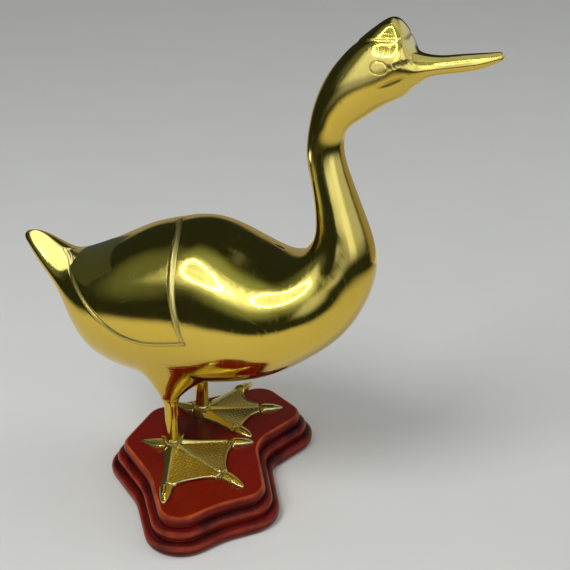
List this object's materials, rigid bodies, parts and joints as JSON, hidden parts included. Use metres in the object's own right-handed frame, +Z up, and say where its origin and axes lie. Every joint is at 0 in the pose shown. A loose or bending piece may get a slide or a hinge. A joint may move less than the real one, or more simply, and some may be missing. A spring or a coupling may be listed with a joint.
{
  "type": "duck figurine on a base",
  "caption": "Standing long-necked duck of polished brass with raised wing outlines, on webbed feet bolted to a lobed, red-stained wooden base with a moulded edge.",
  "frame": {"origin": "on the felt's underside, midway between the two legs", "axes": "+X the way the bird faces, +Y its left, +Z up"},
  "size_m": [0.258, 0.1504, 0.2651],
  "materials": {
    "polished_brass": "polished",
    "dull_brass": "antiqued",
    "stained_wood": "gloss lacquer",
    "zinc_steel": "zinc plated",
    "felt": "matt felt"
  },
  "bodies": {
    "root": {"body_left_half": "polished_brass", "body_right_half": "polished_brass", "neck_and_head": "polished_brass", "left_leg": "polished_brass", "right_leg": "polished_brass", "left_foot": "dull_brass", "right_foot": "dull_brass", "wooden_base": "stained_wood", "left_washer": "zinc_steel", "right_washer": "zinc_steel", "left_nut": "zinc_steel", "right_nut": "zinc_steel", "felt_pad": "felt"}
  },
  "joints": []
}
